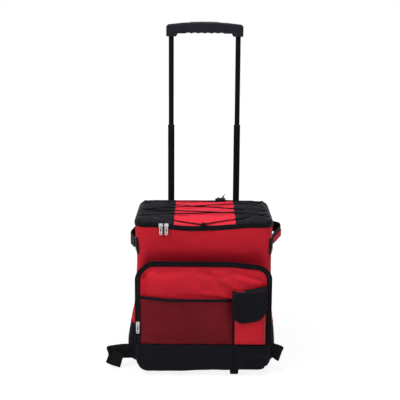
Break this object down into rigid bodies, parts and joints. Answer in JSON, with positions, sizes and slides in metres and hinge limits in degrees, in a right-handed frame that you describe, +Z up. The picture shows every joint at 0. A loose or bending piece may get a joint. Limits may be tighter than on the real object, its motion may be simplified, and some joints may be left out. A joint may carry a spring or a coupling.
{
  "type": "cooler on wheels",
  "caption": "Soft-sided insulated cooler bag on a wheeled trolley, with a telescopic pull handle, bungee-laced lid, front pocket and side carry handles.",
  "frame": {"origin": "on the floor, under the middle of the insulated body", "axes": "+X to the right of someone facing the front pocket, +Y towards the trolley at the back, +Z up"},
  "size_m": [0.4596, 0.3944, 0.8912],
  "materials": {
    "red_fabric": "coated polyester weave",
    "black_fabric": "coated polyester weave",
    "mesh_fabric": "open knitted mesh",
    "webbing": "woven polypropylene webbing",
    "cord": "braided elastic cord",
    "foam": "closed-cell foam",
    "liner": "foil-faced sheet",
    "board": "moulded sheet",
    "black_plastic": "satin moulding",
    "grip_plastic": "fine grained moulding",
    "button_plastic": "satin moulding",
    "zip_tape": "woven tape with a moulded chain",
    "tube_metal": "gloss black paint",
    "silver_metal": "bright plated",
    "steel": "zinc plated",
    "tyre_rubber": "moulded tyre",
    "foot_rubber": "moulded foot"
  },
  "bodies": {
    "bag": {"base_board": "board", "front_feet": "foot_rubber", "base_skirt": "black_fabric", "outer_cover": "red_fabric", "back_board": "board", "foam_insulation": "foam", "inner_liner": "liner", "lid_hinge_strip": "black_fabric", "lid_zip_lower": "zip_tape", "pocket_base": "black_fabric", "pocket_gusset": "black_fabric", "pocket_zip_fixed": "zip_tape", "handle_tabs": "webbing", "strap_left": "webbing", "strap_right": "webbing", "lower_tubes": "tube_metal", "back_cover": "black_fabric", "tube_top_bracket": "black_plastic", "tube_bottom_bracket": "black_plastic", "wheel_housings": "black_plastic", "axles": "steel", "frame_screws": "steel"},
    "lid": {"lid_cover": "black_fabric", "lid_centre_strip": "red_fabric", "lid_foam": "foam", "lid_liner": "liner", "lid_zip_upper": "zip_tape", "bungee_loops": "webbing", "bungee_cord": "cord", "cord_lock_body": "black_plastic", "cord_lock_spring": "steel"},
    "lock_plunger": {"cord_lock_plunger": "black_plastic"},
    "lid_slider_left": {"lid_zip_slider_left": "silver_metal"},
    "lid_slider_right": {"lid_zip_slider_right": "silver_metal"},
    "lid_tab_left": {"lid_zip_tab_left": "silver_metal"},
    "lid_tab_right": {"lid_zip_tab_right": "silver_metal"},
    "pocket_front": {"front_panel": "red_fabric", "pocket_zip_panel": "zip_tape", "mesh_pocket": "mesh_fabric", "phone_pocket": "red_fabric"},
    "pocket_slider": {"pocket_zip_slider": "silver_metal"},
    "pocket_tab": {"pocket_zip_tab": "silver_metal"},
    "flap": {"phone_flap": "black_fabric"},
    "handle_left": {"side_handle_left": "webbing"},
    "handle_right": {"side_handle_right": "webbing"},
    "middle_stage": {"middle_tubes": "tube_metal", "middle_bushes": "black_plastic", "middle_collars": "black_plastic"},
    "upper_stage": {"upper_tubes": "tube_metal", "upper_bushes": "black_plastic", "grip_lower": "grip_plastic", "grip_upper": "grip_plastic", "grip_screws": "steel", "button_springs": "steel"},
    "release_button": {"grip_button": "button_plastic", "push_rods": "steel"},
    "wheel_left": {"wheel_left": "black_plastic", "tyre_left": "tyre_rubber"},
    "wheel_right": {"wheel_right": "black_plastic", "tyre_right": "tyre_rubber"}
  },
  "joints": [
    {"name": "middle_stage_slide", "type": "slide", "parent": "bag", "child": "middle_stage", "axis": [0, 0, 1], "range_m": [-0.231, 0]},
    {"name": "upper_stage_slide", "type": "slide", "parent": "middle_stage", "child": "upper_stage", "axis": [0, 0, 1], "range_m": [-0.24, 0]},
    {"name": "button_press", "type": "slide", "parent": "upper_stage", "child": "release_button", "axis": [0, 0, -1], "range_m": [0, 0.004], "stiffness_N_per_m": 500, "springref_m": -0.004, "deforming": ["button_springs"]},
    {"name": "lid_hinge", "type": "hinge", "parent": "bag", "child": "lid", "pos_m": [0, 0.12515, 0.399], "axis": [-1, 0, 0], "range_deg": [0, 75]},
    {"name": "cord_lock_press", "type": "slide", "parent": "lid", "child": "lock_plunger", "axis": [1, 0, 0], "range_m": [0, 0.003], "stiffness_N_per_m": 300, "springref_m": -0.003, "deforming": ["cord_lock_spring"]},
    {"name": "lid_slider_left_slide", "type": "slide", "parent": "bag", "child": "lid_slider_left", "axis": [-1, 0, 0], "range_m": [0, 0.03]},
    {"name": "lid_slider_right_slide", "type": "slide", "parent": "bag", "child": "lid_slider_right", "axis": [1, 0, 0], "range_m": [0, 0.235]},
    {"name": "lid_tab_left_swing", "type": "hinge", "parent": "lid_slider_left", "child": "lid_tab_left", "pos_m": [-0.109, -0.1321, 0.3867], "axis": [-1, 0, 0], "range_deg": [0, 150]},
    {"name": "lid_tab_right_swing", "type": "hinge", "parent": "lid_slider_right", "child": "lid_tab_right", "pos_m": [-0.095, -0.1321, 0.3867], "axis": [-1, 0, 0], "range_deg": [0, 150]},
    {"name": "pocket_front_hinge", "type": "hinge", "parent": "bag", "child": "pocket_front", "pos_m": [0, -0.1754, 0.0853], "axis": [1, 0, 0], "range_deg": [0, 90]},
    {"name": "pocket_slider_slide", "type": "slide", "parent": "pocket_front", "child": "pocket_slider", "axis": [0, 0, 1], "range_m": [0, 0.11]},
    {"name": "pocket_tab_swing", "type": "hinge", "parent": "pocket_slider", "child": "pocket_tab", "pos_m": [-0.1657, -0.1795, 0.141], "axis": [-1, 0, 0], "range_deg": [0, 150]},
    {"name": "flap_hinge", "type": "hinge", "parent": "pocket_front", "child": "flap", "pos_m": [0.116, -0.17275, 0.2346], "axis": [-1, 0, 0], "range_deg": [0, 85]},
    {"name": "handle_left_swing", "type": "hinge", "parent": "bag", "child": "handle_left", "pos_m": [-0.1796, 0, 0.337], "axis": [0, 1, 0], "range_deg": [-20, 60]},
    {"name": "handle_right_swing", "type": "hinge", "parent": "bag", "child": "handle_right", "pos_m": [0.1796, 0, 0.337], "axis": [0, -1, 0], "range_deg": [-60, 20]},
    {"name": "wheel_left_spin", "type": "hinge", "parent": "bag", "child": "wheel_left", "pos_m": [-0.126, 0.1627, 0.03], "axis": [1, 0, 0], "continuous": true},
    {"name": "wheel_right_spin", "type": "hinge", "parent": "bag", "child": "wheel_right", "pos_m": [0.126, 0.1627, 0.03], "axis": [1, 0, 0], "continuous": true}
  ]
}
